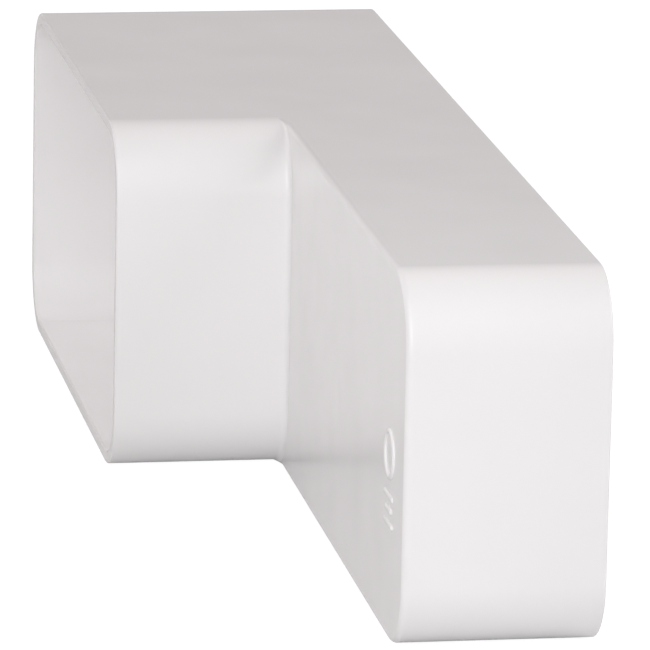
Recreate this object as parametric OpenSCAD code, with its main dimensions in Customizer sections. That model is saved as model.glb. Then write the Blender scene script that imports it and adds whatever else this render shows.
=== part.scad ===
// Stepped reducer for flat ventilation ducts, moulded in one piece.
// A narrow sleeve runs into a wide one. Both have the same height and share
// their top, bottom and back faces, so the whole change of width is on the
// front, where a flat wall closes the step. Each sleeve slips over its duct.
// X runs with the air from the narrow rim to the wide one, Y across the
// ducts with the flush back face at +Y, and Z is up from the resting face.

/* [Ducts] */
// Height of both flat ducts
duct_height = 55; // [45:1:90]
// Width of the narrow duct
narrow_duct_width = 110; // [80:1:150]
// Width of the wide duct
wide_duct_width = 220; // [180:1:300]
// Radius on the corners of both ducts
duct_corner_radius = 9; // [4:0.5:14]

/* [Sleeves] */
// Gap between a duct and the sleeve that slips over it, on each side
slip_clearance = 0.25; // [0.1:0.05:0.8]
// Thickness of the walls of both sleeves
sleeve_wall = 2; // [1.4:0.1:3]
// Length of the narrow sleeve, from its rim to the outside of the step
narrow_sleeve_length = 29.5; // [20:0.5:60]
// Depth of the wide sleeve, from its rim to the inside of the step
wide_sleeve_depth = 30; // [20:0.5:60]

/* [Step] */
// Thickness of the wall that closes the step
step_wall = 2; // [1.4:0.1:4]
// Radius on the outer edge of the step
step_edge_radius = 1; // [0.4:0.1:1.4]
// Radius in the corner where the narrow sleeve meets the step
step_root_radius = 1; // [0.5:0.1:4]

/* [Hidden] */
$fn = 96;

// How far a cutter runs past the face it opens
overrun = 1;
// How far the fillet of the step reaches into the walls that carry it
root_bite = min(sleeve_wall, step_wall) / 2;

inner_height = duct_height + 2 * slip_clearance;
inner_radius = duct_corner_radius + slip_clearance;
narrow_inner = narrow_duct_width + 2 * slip_clearance;
wide_inner = wide_duct_width + 2 * slip_clearance;

outer_height = inner_height + 2 * sleeve_wall;
outer_radius = inner_radius + sleeve_wall;
narrow_outer = narrow_inner + 2 * sleeve_wall;
wide_outer = wide_inner + 2 * sleeve_wall;

wide_part_length = step_wall + wide_sleeve_depth;
total_length = narrow_sleeve_length + wide_part_length;

narrow_rim_x = -total_length / 2;
step_x = narrow_rim_x + narrow_sleeve_length;
wide_rim_x = total_length / 2;

back_y = wide_outer / 2;
front_y = -wide_outer / 2;
narrow_front_y = back_y - narrow_outer;

// Turns a flat shape to face along X: its own x becomes Y and its own y becomes Z
module facing_x(x) {
    translate([x, 0, 0])
        rotate([90, 0, 90])
            children();
}

// Rectangle from the origin with round corners
module round_rect(width, height, radius) {
    translate([radius, 0])
        square([width - 2 * radius, height]);
    translate([0, radius])
        square([width, height - 2 * radius]);
    for (x = [radius, width - radius])
        for (y = [radius, height - radius])
            translate([x, y])
                circle(radius);
}

// Straight tube filling of one sleeve, from x_start to x_end
module duct_prism(y_start, z_start, width, height, radius, x_start, x_end) {
    facing_x(x_start)
        translate([y_start, z_start, 0])
            linear_extrude(x_end - x_start)
                round_rect(width, height, radius);
}

// Sweeps a section round the front of a sleeve, and back along its top and bottom for run.
// The section's x points out of the sleeve and its y points along the sleeve.
module round_front(front, run) {
    translate([front, outer_radius, 0])
        rotate([90, 0, 180])
            linear_extrude(outer_height - 2 * outer_radius)
                children();
    for (top = [0, 1])
        translate([front + outer_radius, top == 1 ? outer_height - outer_radius : outer_radius, 0])
            rotate([0, 0, top == 1 ? 90 : 180])
                rotate_extrude(angle = 90)
                    translate([outer_radius, 0])
                        children();
    if (run > 0) {
        translate([front + outer_radius, outer_height, 0])
            rotate([90, 0, 90])
                linear_extrude(run)
                    children();
        translate([front + outer_radius + run, 0, 0])
            rotate([90, 0, -90])
                linear_extrude(run)
                    children();
    }
}

// What is cut away to round the outer edge of the step
module edge_section() {
    difference() {
        translate([-step_edge_radius, -overrun])
            square(step_edge_radius + overrun);
        translate([-step_edge_radius, step_edge_radius])
            circle(step_edge_radius);
    }
}

// What is added in the corner of the step, with a bite into both walls
module root_section() {
    difference() {
        translate([-root_bite, -step_root_radius])
            square(step_root_radius + root_bite);
        translate([step_root_radius, -step_root_radius])
            circle(step_root_radius);
    }
}

// Outside of the wide sleeve, with the edge of the step rounded
module wide_form() {
    difference() {
        duct_prism(front_y, 0, wide_outer, outer_height, outer_radius, step_x, wide_rim_x);
        facing_x(step_x)
            round_front(front_y, wide_outer - narrow_outer)
                edge_section();
    }
}

// Fillet where the narrow sleeve meets the step, kept between the top and bottom faces
module step_root() {
    intersection() {
        facing_x(step_x)
            round_front(narrow_front_y, 0)
                root_section();
        translate([narrow_rim_x, front_y, 0])
            cube([total_length, wide_outer, outer_height]);
    }
}

// Outside of the moulding, before it is hollowed
module outer_form() {
    duct_prism(narrow_front_y, 0, narrow_outer, outer_height, outer_radius,
               narrow_rim_x, step_x + step_wall);
    wide_form();
    step_root();
}

// Narrow passage, open right through from rim to rim
module narrow_passage() {
    duct_prism(narrow_front_y + sleeve_wall, sleeve_wall, narrow_inner, inner_height, inner_radius,
               narrow_rim_x - overrun, wide_rim_x + overrun);
}

// Wide socket, from its rim down to the inside of the step
module wide_socket() {
    duct_prism(front_y + sleeve_wall, sleeve_wall, wide_inner, inner_height, inner_radius,
               step_x + step_wall, wide_rim_x + overrun);
}

module reducer_body() {
    color([0.93, 0.93, 0.93])
        difference() {
            outer_form();
            narrow_passage();
            wide_socket();
        }
}

reducer_body();
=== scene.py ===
# %% [markdown]
# # A moulded duct reducer
#
# This lesson dresses one plastic fitting: a stepped reducer that joins a narrow
# flat duct to a wide one of the same height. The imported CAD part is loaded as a
# fixed frame, and everything made here sits exactly on it. The real fitting is a
# single shell of even thickness, so the look depends on two things: soft, true
# edges, and a white plastic that is nearly flat but not quite.

import math

import bmesh
import bpy
import numpy as np
from mathutils import Matrix, Vector


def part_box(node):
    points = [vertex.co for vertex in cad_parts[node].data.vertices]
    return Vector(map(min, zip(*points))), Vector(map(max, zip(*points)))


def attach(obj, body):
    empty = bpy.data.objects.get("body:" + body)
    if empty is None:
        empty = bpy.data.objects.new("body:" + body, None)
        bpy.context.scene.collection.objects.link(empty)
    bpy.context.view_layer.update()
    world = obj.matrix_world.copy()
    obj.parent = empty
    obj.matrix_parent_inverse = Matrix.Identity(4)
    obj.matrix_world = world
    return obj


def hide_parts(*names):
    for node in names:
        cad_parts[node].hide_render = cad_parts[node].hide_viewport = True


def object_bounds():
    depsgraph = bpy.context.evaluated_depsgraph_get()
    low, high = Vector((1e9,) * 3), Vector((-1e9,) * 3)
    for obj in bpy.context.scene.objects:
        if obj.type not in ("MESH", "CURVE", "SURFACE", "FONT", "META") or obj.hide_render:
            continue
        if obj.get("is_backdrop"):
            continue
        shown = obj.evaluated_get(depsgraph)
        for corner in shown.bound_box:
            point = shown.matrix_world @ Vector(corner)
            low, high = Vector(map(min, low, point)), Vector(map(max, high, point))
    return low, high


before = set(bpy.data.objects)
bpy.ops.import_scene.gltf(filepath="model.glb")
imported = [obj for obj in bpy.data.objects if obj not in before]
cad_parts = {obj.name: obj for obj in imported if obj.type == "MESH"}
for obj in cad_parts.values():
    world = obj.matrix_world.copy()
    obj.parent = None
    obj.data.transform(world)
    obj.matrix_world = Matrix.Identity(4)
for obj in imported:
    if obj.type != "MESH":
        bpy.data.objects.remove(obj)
cad_low, cad_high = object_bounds()

MM = 0.001


def in_mm(lengths):
    """Lengths as rounded millimetres, for printing."""
    return [round(length / MM, 2) for length in lengths]


print("CAD box, mm", in_mm(cad_high - cad_low))

# %% [markdown]
# ## Sizes
#
# A fitting like this is drawn from the ducts that it joins. Three numbers come
# from the frame's own box: the length, the width of the wide end and the height.
# The rest are the fitting's other sizes, in millimetres. Moulded edges are never
# sharp, so each edge and inside corner has a radius of its own.

# %% Sizes of the fitting
low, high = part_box("reducer_body")
narrow_rim_x, wide_rim_x = low.x, high.x
front_y, back_y = low.y, high.y
bottom_z, top_z = low.z, high.z

narrow_width = 114.5 * MM
narrow_sleeve_length = 29.5 * MM
wall = 2.0 * MM
step_wall = 2.0 * MM
corner_radius = 11.25 * MM
narrow_front_y = back_y - narrow_width
step_x = narrow_rim_x + narrow_sleeve_length

rim_radius = 0.3 * MM
step_edge_radius = 1.0 * MM
step_root_radius = 1.0 * MM
mouth_radius = 0.5 * MM
socket_root_radius = 0.5 * MM
print("narrow width and wide part's length, mm", in_mm([narrow_width, wide_rim_x - step_x]))

# %% [markdown]
# ## Camera
#
# The photograph was taken from in front and a little above, from the side of the
# narrow end, with a long lens. The camera is placed by three angles around a
# point in the middle of the fitting, which is easier to adjust than a matrix. The
# lamps are placed round the same point later, by the same kind of angles.

# %% Camera
AZIMUTH, ELEVATION, ROLL = -9.741, 13.783, 1.146
AIM = Vector((5.01, -1.85, 25.78)) * MM
DISTANCE = 1089.72 * MM
SENSOR_WIDTH_MM = 36.0
FOCAL_LENGTH_MM = 357.52
NEAR_CLIP, FAR_CLIP = 0.05, 50.0


def direction_at(azimuth, elevation):
    """The way out from the fitting, from two angles in degrees. Azimuth 0 is in front, 90 on the right."""
    a, e = math.radians(azimuth), math.radians(elevation)
    return Vector((math.sin(a) * math.cos(e), -math.cos(a) * math.cos(e), math.sin(e)))


back = direction_at(AZIMUTH, ELEVATION)
level_right = (-back).cross(Vector((0, 0, 1))).normalized()
level_up = back.cross(level_right)
roll = math.radians(ROLL)
right = level_right * math.cos(roll) + level_up * math.sin(roll)
up = level_up * math.cos(roll) - level_right * math.sin(roll)

camera = bpy.data.objects.new("camera", bpy.data.cameras.new("camera"))
bpy.context.scene.collection.objects.link(camera)
turn = Matrix((right, up, back)).transposed().to_4x4()
camera.matrix_world = Matrix.Translation(AIM + back * DISTANCE) @ turn
camera.data.sensor_width = SENSOR_WIDTH_MM
camera.data.lens = FOCAL_LENGTH_MM
camera.data.clip_start = NEAR_CLIP
camera.data.clip_end = FAR_CLIP
bpy.context.scene.camera = camera
print("camera at, mm", in_mm(camera.location))

# %% [markdown]
# ## The outline of the two ends
#
# Seen end on, each end is a rectangle with round corners. The two outlines share
# the top, the bottom and the back, and differ only round the front. So one walk
# round the fitting can serve both: at every stop it notes a point and an outward
# direction on the narrow outline, and the partner point on the wide one. A boolean
# of two boxes would also give this shape, but it leaves long thin triangles at the
# step that bevel badly. Partner points give clean rows of quads instead.
#
# An outline is a flat drawing in Y and Z. It is put together from two kinds of run,
# straight ones and round corners.

# %% Runs of an outline
ARC_STOPS = 24
QUARTER = 0.5 * math.pi
TO_BACK, TO_TOP, TO_FRONT, TO_BOTTOM = (1, 0), (0, 1), (-1, 0), (0, -1)

# The four corners, by the quarter turns from the back to where each one starts
BACK_TOP, TOP_FRONT, FRONT_BOTTOM, BOTTOM_BACK = range(4)


def straight(start, end, stops, out):
    """Points on a straight line up to but not including its end, each with its outward direction."""
    return [(tuple(a + (b - a) * i / stops for a, b in zip(start, end)), out) for i in range(stops)]


def round_corner(centre, radius, quarter):
    """Points round one of the four corners up to but not including its end, each with its direction."""
    run = []
    for i in range(ARC_STOPS):
        angle = QUARTER * (quarter + i / ARC_STOPS)
        out = (math.cos(angle), math.sin(angle))
        run.append(((centre[0] + radius * out[0], centre[1] + radius * out[1]), out))
    return run


print("stops in a round corner", len(round_corner((0, 0), corner_radius, BACK_TOP)))

# %% [markdown]
# ## The step's fillets
#
# The step has two fillets, one after the other: a hollow and a rounded edge. Near
# the place where the two outlines part, the step is lower than its two radii
# together. A real fillet then turns less than a quarter. The turn at each stop
# follows from the height of the step there, so the step grows out of the flush
# faces with no crease. A bevel modifier keeps one width along an edge, and would
# run over itself at these two places.

# %% A walk round the fitting
class Walk:
    """Stops round the fitting, at one depth below its outside.

    A stop is a pair of partner points on the narrow and the wide outline, their two
    outward directions, and the angle through which the step's two fillets turn.
    """

    def __init__(self, depth, first_radius, second_radius):
        self.depth = depth
        self.first = first_radius
        self.second = second_radius
        self.radius = corner_radius - depth
        self.stops = []

    def shared(self, run):
        """Stops where both ends have the same outline."""
        for point, out in run:
            self.stops.append((point, point, out, out, 0.0))

    def front(self, z_start, z_end, wide_run):
        """Stops down the narrow front wall, beside a run of the wide outline."""
        for i, (wide, out) in enumerate(wide_run):
            z = z_start + (z_end - z_start) * i / len(wide_run)
            self.stops.append(((narrow_front_y + self.depth, z), wide, TO_FRONT, out, QUARTER))

    def turn_at(self, away):
        """How far the step's fillets turn, at an angle away from where the outlines part."""
        step_height = self.radius * (1 - math.cos(away))
        both = self.first * math.cos(away) + self.second
        return math.acos(max(0.0, 1 - step_height / both)) if both > step_height else QUARTER

    def parting(self, side, away):
        """A stop on the narrow end's front corner. Side is 1 at the top and -1 at the bottom."""
        centre_y = narrow_front_y + corner_radius
        centre_z = top_z - corner_radius if side > 0 else bottom_z + corner_radius
        out = (-math.sin(away), side * math.cos(away))
        turn = self.turn_at(away)
        foot = self.radius + self.first * (1 - math.cos(turn))
        narrow = (centre_y + self.radius * out[0], centre_z + self.radius * out[1])
        wide = (centre_y + foot * out[0], centre_z + side * self.radius)
        self.stops.append((narrow, wide, out, (0, side), turn))

    def arrays(self):
        """The walk, with each kind of value of its stops in one array."""
        columns = [np.array(column, float) for column in zip(*self.stops)]
        self.narrow, self.wide, self.narrow_out, self.wide_out, self.turn = columns
        return self


early_turn = Walk(0.0, step_root_radius, step_edge_radius).turn_at(QUARTER / 6)
print("turn of the fillets 15 degrees past the parting", round(math.degrees(early_turn), 1))

# %% Walk round the outside and the inside
FLAT_STOPS = 14
SIDE_STOPS = 10
STRETCH_SHARE = 0.14


def walk_round(depth, first_radius, second_radius):
    """A whole walk: down the front, back along the bottom, up the back and over the top."""
    walk = Walk(depth, first_radius, second_radius)
    top, bottom = top_z - depth, bottom_z + depth
    front, rear = front_y + depth, back_y - depth
    high_z, low_z = top_z - corner_radius, bottom_z + corner_radius
    wide_corner_y = front_y + corner_radius
    parting_y = narrow_front_y + corner_radius
    back_corner_y = back_y - corner_radius
    foot_y = narrow_front_y + depth - first_radius

    walk.shared([((parting_y, top), TO_TOP)])
    for i in range(1, ARC_STOPS):
        walk.parting(1, QUARTER * i / ARC_STOPS)

    # Each run of the wide outline has its own stretch of the narrow front wall beside it
    stretch = STRETCH_SHARE * (high_z - low_z)
    upper_levels = [high_z, high_z - stretch, high_z - 2 * stretch]
    lower_levels = [low_z + 2 * stretch, low_z + stretch, low_z]
    levels = upper_levels + lower_levels
    wide_runs = [
        straight((foot_y, top), (wide_corner_y, top), FLAT_STOPS, TO_TOP),
        round_corner((wide_corner_y, high_z), walk.radius, TOP_FRONT),
        straight((front, high_z), (front, low_z), SIDE_STOPS, TO_FRONT),
        round_corner((wide_corner_y, low_z), walk.radius, FRONT_BOTTOM),
        straight((wide_corner_y, bottom), (foot_y, bottom), FLAT_STOPS, TO_BOTTOM),
    ]
    for z_start, z_end, wide_run in zip(levels, levels[1:], wide_runs):
        walk.front(z_start, z_end, wide_run)

    for i in range(ARC_STOPS, 0, -1):
        walk.parting(-1, QUARTER * i / ARC_STOPS)
    walk.shared(straight((parting_y, bottom), (back_corner_y, bottom), FLAT_STOPS, TO_BOTTOM))
    walk.shared(round_corner((back_corner_y, low_z), walk.radius, BOTTOM_BACK))
    walk.shared(straight((rear, low_z), (rear, high_z), SIDE_STOPS, TO_BACK))
    walk.shared(round_corner((back_corner_y, high_z), walk.radius, BACK_TOP))
    walk.shared(straight((back_corner_y, top), (parting_y, top), FLAT_STOPS, TO_TOP))
    return walk.arrays()


outside = walk_round(0.0, step_root_radius, step_edge_radius)
inside = walk_round(wall, mouth_radius, socket_root_radius)
print("stops round the outline", len(outside.stops))
print("of which shared by both ends", int((outside.turn == 0).sum()))

# %% [markdown]
# ## One skin from rim to rim
#
# A skin starts on the narrow outline, runs along the sleeve, turns outwards into
# the wall of the step, and turns again into the wide sleeve. The first turn on the
# outside is the hollow root of the step, the second its rounded outer edge. On the
# inside the same two turns are the mouth of the passage and the foot of the socket.
# Each point also notes the true direction of the surface there. Smooth shading by
# itself guesses that from the neighbouring faces, which makes flat walls look
# pillowy beside a small fillet. Noted directions keep flat walls flat.

# %% Rows of a skin
TURN_ROWS = 8
FACE_ROWS = 8
SLEEVE_ROWS = 6


def row(x, flat_points, flat_out, lean=0.0):
    """Points of one row and the directions they face. Lean tilts the outward direction towards -X."""
    count = len(flat_points)
    x, lean = np.broadcast_to(x, count), np.broadcast_to(lean, count)
    points = np.column_stack([x, flat_points])
    facing = np.column_stack([-np.sin(lean), np.cos(lean)[:, None] * flat_out])
    return points, facing


def skin(walk, face_x):
    """Rows from the narrow end to the wide end."""
    turn, shared = walk.turn, walk.turn == 0
    start, end = narrow_rim_x + rim_radius, wide_rim_x - rim_radius
    turn_start = face_x - walk.first
    turned = turn_start + (walk.first + walk.second) * np.sin(turn)
    turn_end = np.where(shared, face_x + walk.second, turned)

    def first_turn(lean):
        """Place along X and points where the first fillet has turned this far."""
        rise = (walk.first * (1 - np.cos(lean)))[:, None]
        return turn_start + walk.first * np.sin(lean), walk.narrow + rise * walk.narrow_out

    def second_turn(lean):
        """Place along X and points where the second fillet still has this far to turn."""
        drop = (walk.second * (1 - np.cos(lean)))[:, None]
        return turn_end - walk.second * np.sin(lean), walk.wide - drop * walk.wide_out

    rows = []
    for i in range(SLEEVE_ROWS):
        rows.append(row(start + (turn_start - start) * i / SLEEVE_ROWS, walk.narrow, walk.narrow_out))
    for i in range(TURN_ROWS):
        lean = turn * i / TURN_ROWS
        rows.append(row(*first_turn(lean), walk.narrow_out, lean))
    foot_x, foot = first_turn(turn)
    head = second_turn(turn)[1]
    for i in range(FACE_ROWS):
        rows.append(row(foot_x, foot + (head - foot) * i / FACE_ROWS, walk.narrow_out, turn))
    for i in range(TURN_ROWS):
        lean = turn * (1 - i / TURN_ROWS)
        rows.append(row(*second_turn(lean), walk.wide_out, lean))
    for i in range(SLEEVE_ROWS + 1):
        rows.append(row(turn_end + (end - turn_end) * i / SLEEVE_ROWS, walk.wide, walk.wide_out))

    # Where the ends share their outline nothing turns, so these rows are spread evenly along X
    turning = range(SLEEVE_ROWS, SLEEVE_ROWS + 2 * TURN_ROWS + FACE_ROWS)
    for i in turning:
        points, facing = rows[i]
        share = (i - turning[0]) / len(turning)
        points[shared, 0] = turn_start + (face_x + walk.second - turn_start) * share
    return rows


outer_rows = skin(outside, step_x)
inner_rows = skin(inside, step_x + step_wall)
print("rows of the outer skin", len(outer_rows), "of the inner skin", len(inner_rows))

# %% [markdown]
# ## Rims, and closing the shell
#
# The rims are cut square, with just enough radius to catch the light. With rims at
# both ends, the outer and inner skins close into one ring of rows, so the whole
# fitting is a single grid wrapped round twice, like a very angular doughnut. No
# solidify modifier is needed, and the wall is as thick as the real one everywhere.

# %% Rims
RIM_TURN_ROWS = 4


def rim(outer, outer_out, inner, inner_out, rim_x, inwards):
    """Rows over a rim, from the outer skin to the inner one. Inwards is the way into the sleeve along X."""
    leans = [QUARTER * i / RIM_TURN_ROWS for i in range(1, RIM_TURN_ROWS + 1)]
    outer_side = [(lean, outer, outer_out) for lean in leans]
    inner_side = [(lean, inner, -inner_out) for lean in reversed(leans)]
    rows = []
    for lean, points, out in outer_side + inner_side:
        inset = rim_radius * (1 - math.cos(lean))
        x = rim_x + inwards * rim_radius * (1 - math.sin(lean))
        rows.append(row(x, points - inset * out, out, inwards * lean))
    return rows


narrow_rim = rim(outside.narrow, outside.narrow_out, inside.narrow, inside.narrow_out, narrow_rim_x, 1)
wide_rim = rim(outside.wide, outside.wide_out, inside.wide, inside.wide_out, wide_rim_x, -1)
print("rows over each rim", len(narrow_rim), "and", len(wide_rim))

# %% Close the shell
WELD_DISTANCE = 1e-7

inner_rows_turned_over = [(points, -facing) for points, facing in inner_rows]
all_rows = outer_rows + wide_rim + inner_rows_turned_over[::-1] + narrow_rim[::-1]
grid = np.array([points for points, facing in all_rows])
grid_facing = np.array([facing for points, facing in all_rows])


def welded(grid, facing):
    """The grid's different points, their directions, and its faces, with pinched quads made triangles."""
    rows, stops = grid.shape[:2]
    points = grid.reshape(-1, 3)
    keys = np.round(points / WELD_DISTANCE).astype(np.int64)
    first, place = np.unique(keys, axis=0, return_index=True, return_inverse=True)[1:]
    place = place.reshape(rows, stops)
    directions = np.zeros((len(first), 3))
    np.add.at(directions, place.ravel(), facing.reshape(-1, 3))
    directions /= np.linalg.norm(directions, axis=1)[:, None]
    along, around = np.roll(place, -1, 0), np.roll(place, -1, 1)
    quads = np.stack([place, around, np.roll(along, -1, 1), along], -1).reshape(-1, 4)
    faces = []
    for quad in quads.tolist():
        corners = [v for i, v in enumerate(quad) if v != quad[i - 1]]
        if len(set(corners)) == len(corners) and len(corners) > 2:
            faces.append(corners)
    return points[first], directions, faces


shell_points, shell_facing, shell_faces = welded(grid, grid_facing)
print("points of the grid", grid.shape[0] * grid.shape[1], "left after the weld", len(shell_points))

# %% The shell as a piece
CUBIC_CM = (10 * MM) ** 3


def smooth_piece(mesh):
    """An object in the scene that shows a mesh with smooth shading, under the mesh's own name."""
    mesh.polygons.foreach_set("use_smooth", [True] * len(mesh.polygons))
    obj = bpy.data.objects.new(mesh.name, mesh)
    bpy.context.scene.collection.objects.link(obj)
    return obj


def report(obj):
    """Prints how many faces and open edges a piece has, and the volume it holds."""
    shape = bmesh.new()
    shape.from_mesh(obj.data)
    open_edges = sum(1 for edge in shape.edges if len(edge.link_faces) != 2)
    volume = shape.calc_volume(signed=True) / CUBIC_CM
    shape.free()
    print(obj.name, "faces", len(obj.data.polygons), "open edges", open_edges)
    print(obj.name, "volume, cm3", round(volume, 3))


shell_mesh = bpy.data.meshes.new("reducer_shell")
shell_mesh.from_pydata(shell_points.tolist(), [], shell_faces)
shell = smooth_piece(shell_mesh)
shell_mesh.normals_split_custom_set_from_vertices(shell_facing.tolist())
report(shell)
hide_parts("reducer_body")
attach(shell, "root")

# %% [markdown]
# ## The raised mark
#
# Such fittings carry a small raised mark low on the wall of the step, cut into the
# mould as shallow grooves. Here it is a plain ring over three short bars, which say
# nothing. Each is a low dome with a flat back that is sunk a hair into the wall, so
# it takes the light as a moulded bead does. Curves with a round bevel would be half
# buried tubes, taller than they should be, so the beads are built from loops.

# %% Section of a bead
BEAD_WIDTH = 1.0 * MM
BEAD_HEIGHT = 0.35 * MM
BEAD_SUNK = 0.08 * MM
CROWN = 0.02 * MM
SLOPE_ROWS = 5


def slope():
    """Place along X and half width of a bead, from its foot in the wall up to its crown."""
    for i in range(SLOPE_ROWS + 1):
        angle = QUARTER * i / SLOPE_ROWS
        x = step_x + BEAD_SUNK - (BEAD_HEIGHT + BEAD_SUNK) * math.sin(angle)
        yield x, CROWN + (0.5 * BEAD_WIDTH - CROWN) * math.cos(angle)


def around(x, y, z, radius, angle):
    """A point of a bead, at an angle round a centre on the wall."""
    return x, y + radius * math.cos(angle), z + radius * math.sin(angle)


def add_loops(shape, loops, joined):
    """Quads between neighbouring loops. Joined ties the last loop to the first, or else both are filled."""
    made = [[shape.verts.new(point) for point in loop] for loop in loops]
    following = made[1:] + made[:1] if joined else made[1:]
    for lower, upper in zip(made, following):
        for i in range(len(lower)):
            j = (i + 1) % len(lower)
            shape.faces.new((lower[i], lower[j], upper[j], upper[i]))
    if not joined:
        shape.faces.new(made[-1])
        shape.faces.new(made[0][::-1])


print("half widths up a bead, mm", in_mm(half for x, half in slope()))

# %% Raised mark
END_STOPS = 8
RING_STOPS = 48
RING_RADIUS = 3.6 * MM
mark_y = front_y + 12.5 * MM
mark_z = bottom_z + 29.5 * MM

# How far each bar lies below the middle of the ring, and how long its straight part is
BARS = ((6.6 * MM, 6.4 * MM), (8.8 * MM, 4.0 * MM), (11.0 * MM, 6.4 * MM))


def add_bar(shape, y, z, length):
    """A short level bar with round ends."""
    ends = []
    for side, first_quarter in ((1, -1), (-1, 1)):
        for i in range(END_STOPS + 1):
            ends.append((y + side * 0.5 * length, QUARTER * (first_quarter + 2 * i / END_STOPS)))
    loops = [[around(x, end_y, z, half, angle) for end_y, angle in ends] for x, half in slope()]
    add_loops(shape, loops, joined=False)


def add_ring(shape, y, z, radius):
    """A ring: the outer slope up to the crown, and the inner slope down again."""
    outer = [(x, radius + half) for x, half in slope()]
    inner = [(x, radius - half) for x, half in slope()][::-1]
    angles = [4 * QUARTER * i / RING_STOPS for i in range(RING_STOPS)]
    loops = [[around(x, y, z, r, angle) for angle in angles] for x, r in outer + inner]
    add_loops(shape, loops, joined=True)


mark_shape = bmesh.new()
add_ring(mark_shape, mark_y, mark_z, RING_RADIUS)
for drop, length in BARS:
    add_bar(mark_shape, mark_y, mark_z - drop, length)
bmesh.ops.recalc_face_normals(mark_shape, faces=mark_shape.faces)
mark_mesh = bpy.data.meshes.new("moulded_mark")
mark_shape.to_mesh(mark_mesh)
mark_shape.free()
mark = smooth_piece(mark_mesh)
report(mark)
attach(mark, "root")

# %% [markdown]
# ## White moulded plastic
#
# The plastic is a satin white with a breath of warmth. Up close it is not uniform:
# the melt leaves faint clouds in the colour, the polish of the mould varies from
# place to place, the walls are flat only to a few tenths of a millimetre, so soft
# reflections wander, and the surface has a grain that is almost too fine to see.
# Noise in object space makes all four, each at its own size. Painted images would
# need the shell unwrapped first, and would blur up close.

# %% Nodes for materials
NOISE_LOW, NOISE_HIGH = 0.2, 0.8


def new_material(name):
    """A material with an empty node tree and its output."""
    material = bpy.data.materials.new(name)
    material.use_nodes = True
    material.node_tree.nodes.clear()
    output = material.node_tree.nodes.new("ShaderNodeOutputMaterial")
    return material, material.node_tree.nodes, material.node_tree.links, output


def noise(nodes, links, place, scale, detail):
    """Noise with features of about 1/scale metres."""
    node = nodes.new("ShaderNodeTexNoise")
    node.inputs["Scale"].default_value = scale
    node.inputs["Detail"].default_value = detail
    links.new(place.outputs["Object"], node.inputs["Vector"])
    return node


def between(nodes, links, source, low_value, high_value):
    """Maps noise from its usual span onto two values."""
    node = nodes.new("ShaderNodeMapRange")
    node.inputs["From Min"].default_value = NOISE_LOW
    node.inputs["From Max"].default_value = NOISE_HIGH
    node.inputs["To Min"].default_value = low_value
    node.inputs["To Max"].default_value = high_value
    links.new(source.outputs["Fac"], node.inputs["Value"])
    return node


def bump(nodes, links, source, height, strength):
    """Lets noise tilt the surface as if it rose and fell by this height."""
    node = nodes.new("ShaderNodeBump")
    node.inputs["Distance"].default_value = height
    node.inputs["Strength"].default_value = strength
    links.new(source.outputs["Fac"], node.inputs["Height"])
    return node


print("noise is taken to lie between", NOISE_LOW, "and", NOISE_HIGH)

# %% Plastic
REFRACTION = 1.5
REFLECTION_LEVEL = 0.5
CLOUD_DARK = (0.872, 0.851, 0.853, 1)
CLOUD_LIGHT = (0.900, 0.879, 0.883, 1)
CLOUD_SCALE, CLOUD_DETAIL = 28.0, 2.0
POLISHED, DULLER = 0.2, 0.26
POLISH_SCALE, POLISH_DETAIL = 60.0, 1.0
WAVE_HEIGHT, WAVE_STRENGTH = 2.0 * MM, 0.35
WAVE_SCALE, WAVE_DETAIL = 12.0, 1.0
GRAIN_HEIGHT, GRAIN_STRENGTH = 0.02 * MM, 0.25
GRAIN_SCALE, GRAIN_DETAIL = 1600.0, 3.0


def moulded_plastic():
    material, nodes, links, output = new_material("white_plastic")
    place = nodes.new("ShaderNodeTexCoord")
    shader = nodes.new("ShaderNodeBsdfPrincipled")
    shader.inputs["IOR"].default_value = REFRACTION
    shader.inputs["Specular IOR Level"].default_value = REFLECTION_LEVEL

    clouds = noise(nodes, links, place, CLOUD_SCALE, CLOUD_DETAIL)
    tint = nodes.new("ShaderNodeValToRGB")
    dark_end, light_end = tint.color_ramp.elements
    dark_end.position, dark_end.color = NOISE_LOW, CLOUD_DARK
    light_end.position, light_end.color = NOISE_HIGH, CLOUD_LIGHT
    links.new(clouds.outputs["Fac"], tint.inputs["Fac"])
    links.new(tint.outputs["Color"], shader.inputs["Base Color"])

    polish = noise(nodes, links, place, POLISH_SCALE, POLISH_DETAIL)
    rough = between(nodes, links, polish, POLISHED, DULLER)
    links.new(rough.outputs["Result"], shader.inputs["Roughness"])

    wave_noise = noise(nodes, links, place, WAVE_SCALE, WAVE_DETAIL)
    waves = bump(nodes, links, wave_noise, WAVE_HEIGHT, WAVE_STRENGTH)
    grain_noise = noise(nodes, links, place, GRAIN_SCALE, GRAIN_DETAIL)
    grain = bump(nodes, links, grain_noise, GRAIN_HEIGHT, GRAIN_STRENGTH)
    links.new(waves.outputs["Normal"], grain.inputs["Normal"])
    links.new(grain.outputs["Normal"], shader.inputs["Normal"])
    links.new(shader.outputs["BSDF"], output.inputs["Surface"])
    return material


plastic = moulded_plastic()
for piece in (shell, mark):
    piece.data.materials.append(plastic)
print("plastic nodes", len(plastic.node_tree.nodes))

# %% [markdown]
# ## Floor
#
# The fitting lies on a plain pale floor that reads as white paper. Lamps strong
# enough to make real paper look white would bleach the fitting too. So for the
# camera the floor is mostly a glow of its own, with enough real paper mixed in to
# keep the soft shadow. Reflections get a smaller share of the same glow, so that a
# glossy surface shows a pale floor and the dark line where the fitting touches it.
# All other rays meet plain matt paper, which bounces some light up under the fitting.

# %% Share of a glow for the camera and for reflections
def maths(nodes, operation):
    """A node for one sum on two or three values."""
    node = nodes.new("ShaderNodeMath")
    node.operation = operation
    return node


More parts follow.
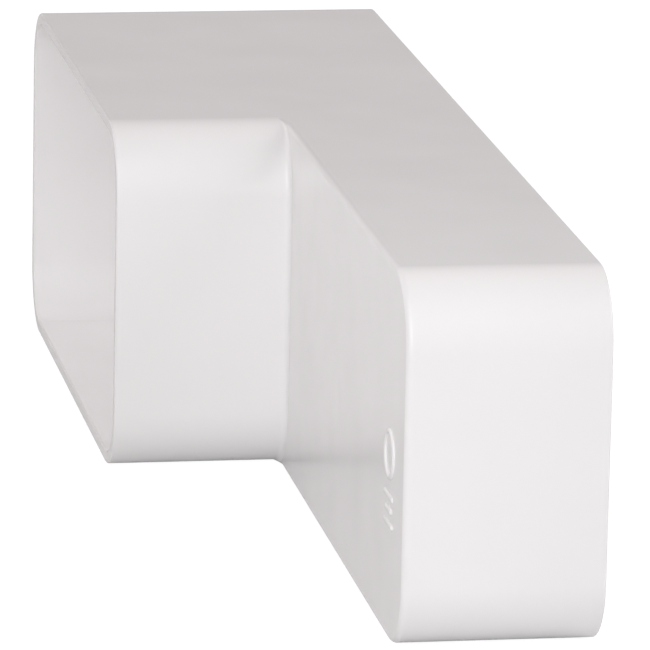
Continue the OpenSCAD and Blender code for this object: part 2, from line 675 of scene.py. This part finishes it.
def glow_share(nodes, links, camera_share, mirror_share):
    """A node giving one share for camera rays, another for reflections and glass, and 0 for the rest."""
    seen = nodes.new("ShaderNodeLightPath")
    mirrored = maths(nodes, "MAXIMUM")
    links.new(seen.outputs["Is Glossy Ray"], mirrored.inputs[0])
    links.new(seen.outputs["Is Transmission Ray"], mirrored.inputs[1])
    direct = maths(nodes, "MULTIPLY")
    direct.inputs[1].default_value = camera_share
    links.new(seen.outputs["Is Camera Ray"], direct.inputs[0])
    share = maths(nodes, "MULTIPLY_ADD")
    share.inputs[1].default_value = mirror_share
    links.new(mirrored.outputs["Value"], share.inputs[0])
    links.new(direct.outputs["Value"], share.inputs[2])
    return share


def mixed(nodes, links, share, plain, glowing):
    """A mix of two shader outputs, with this share of the glowing one."""
    mix = nodes.new("ShaderNodeMixShader")
    links.new(share.outputs["Value"], mix.inputs["Fac"])
    links.new(plain, mix.inputs[1])
    links.new(glowing, mix.inputs[2])
    return mix.outputs["Shader"]


# %% Floor
FLOOR_SIZE = 12.0
FLOOR_GAP = 0.05 * MM
PAPER_GREY = 0.8
PAPER_GLOW = 1.15
PAPER_CAMERA_SHARE = 0.84
PAPER_MIRROR_SHARE = 0.08


def white_paper():
    material, nodes, links, output = new_material("paper")
    paper = nodes.new("ShaderNodeBsdfDiffuse")
    paper.inputs["Color"].default_value = (PAPER_GREY, PAPER_GREY, PAPER_GREY, 1)
    glow = nodes.new("ShaderNodeEmission")
    glow.inputs["Strength"].default_value = PAPER_GLOW
    share = glow_share(nodes, links, PAPER_CAMERA_SHARE, PAPER_MIRROR_SHARE)
    surface = mixed(nodes, links, share, paper.outputs["BSDF"], glow.outputs["Emission"])
    links.new(surface, output.inputs["Surface"])
    return material


def paper_floor():
    """A wide sheet just under the fitting, white to the camera and matt grey paper to the light."""
    mesh = bpy.data.meshes.new("floor")
    half = 0.5 * FLOOR_SIZE
    sheet = [(-half, -half, 0), (half, -half, 0), (half, half, 0), (-half, half, 0)]
    mesh.from_pydata(sheet, [], [(0, 1, 2, 3)])
    mesh.materials.append(white_paper())
    floor = bpy.data.objects.new("floor", mesh)
    bpy.context.scene.collection.objects.link(floor)
    floor.location.z = bottom_z - FLOOR_GAP
    return floor


paper_floor()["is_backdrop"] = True
print("floor, m", FLOOR_SIZE, "glow as the camera sees it", round(PAPER_GLOW * PAPER_CAMERA_SHARE, 3))

# %% [markdown]
# ## Light
#
# In the photograph the front walls are the brightest, the wall of the step comes
# next, and the top is the dimmest. One big soft light overhead would turn that round.
# So the key light stands low in front, a little to the left, and a weak one on the
# left reaches the wall of the step. Two softboxes on the right shine in through the
# wide end, light the inside and skim the top. A small lamp close above the front
# gives the soft bright patch on the upper corner of the wide end.
#
# Four more stand behind. Two keep the back readable in other views, one close to
# the narrow end picks out its rim, and a faint rosy one high up warms the top and
# its front edges. Lamps that the top can mirror are large, because a small strong
# one would show there as a white spot.

# %% Lamps
ROSY = (1.0, 0.95, 0.95)
PINK = (1.0, 0.78, 0.78)
COOL = (0.972, 0.994, 1.0)
NEUTRAL = (1.0, 1.0, 1.0)


def softbox(name, azimuth, elevation, distance, size, power, colour):
    """A square lamp on a sphere round the fitting, facing its middle. Lengths are in metres."""
    lamp = bpy.data.objects.new(name, bpy.data.lights.new(name, "AREA"))
    bpy.context.scene.collection.objects.link(lamp)
    lamp.data.shape = "SQUARE"
    lamp.data.size = size
    lamp.data.energy = power
    lamp.data.color = colour
    direction = direction_at(azimuth, elevation)
    lamp.location = AIM + direction * distance
    lamp.rotation_euler = direction.to_track_quat("Z", "Y").to_euler()
    print(name, "watts", power, "at, mm", in_mm(lamp.location))


softbox("front_softbox", azimuth=-22, elevation=15, distance=0.9, size=0.6, power=3.95, colour=COOL)
softbox("left_softbox", azimuth=-75, elevation=35, distance=1.2, size=1.0, power=1.1, colour=ROSY)
softbox("right_softbox", azimuth=85, elevation=35, distance=1.2, size=1.0, power=4.3, colour=NEUTRAL)
softbox("right_fill", azimuth=70, elevation=28, distance=1.2, size=1.0, power=4.2, colour=COOL)
softbox("close_lamp", azimuth=-20, elevation=40, distance=0.25, size=0.1, power=0.048, colour=COOL)
softbox("back_lamp_left", azimuth=-145, elevation=28, distance=1.2, size=1.0, power=2.0, colour=ROSY)
softbox("back_lamp_right", azimuth=135, elevation=28, distance=1.2, size=1.0, power=0.8, colour=ROSY)
softbox("close_back_lamp", azimuth=-122, elevation=28, distance=0.4, size=0.25, power=0.17, colour=NEUTRAL)
softbox("top_lamp", azimuth=180, elevation=65, distance=1.0, size=0.8, power=0.8, colour=PINK)

# %% [markdown]
# ## Sky and background
#
# A dim even sky fills the shadows. The camera doesn't see it: beyond the edge of
# the floor it sees plain white, by the same trick as on the floor, and reflections
# get a part of that white. A bright white sky would be simpler, but it would light
# the fitting from all sides and wash out its shape.

# %% Sky and background
SKY_COLOUR = (1.0, 0.94, 0.94, 1)
SKY_STRENGTH = 0.15
BACKGROUND_COLOUR = (1.0, 1.0, 1.0, 1)
BACKGROUND_STRENGTH = 1.0
BACKGROUND_CAMERA_SHARE = 1.0
BACKGROUND_MIRROR_SHARE = 0.3


def backdrop(nodes, colour, strength):
    """One plain colour all round."""
    node = nodes.new("ShaderNodeBackground")
    node.inputs["Color"].default_value = colour
    node.inputs["Strength"].default_value = strength
    return node.outputs["Background"]


world = bpy.data.worlds.new("studio")
bpy.context.scene.world = world
world.use_nodes = True
sky_nodes, sky_links = world.node_tree.nodes, world.node_tree.links
sky_nodes.clear()
sky_output = sky_nodes.new("ShaderNodeOutputWorld")
sky = backdrop(sky_nodes, SKY_COLOUR, SKY_STRENGTH)
white = backdrop(sky_nodes, BACKGROUND_COLOUR, BACKGROUND_STRENGTH)
sky_share = glow_share(sky_nodes, sky_links, BACKGROUND_CAMERA_SHARE, BACKGROUND_MIRROR_SHARE)
sky_links.new(mixed(sky_nodes, sky_links, sky_share, sky, white), sky_output.inputs["Surface"])

bpy.context.scene.view_settings.view_transform = "Standard"
print("sky strength", SKY_STRENGTH, "background strength", BACKGROUND_STRENGTH)

# %% [markdown]
#
# The sizes of the CAD box and of the dressed fitting's box are both printed, so
# that the two can be compared after each render. The dressed fitting must stay
# inside the CAD box.

new_low, new_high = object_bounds()
print("visual box, mm", in_mm(new_high - new_low))
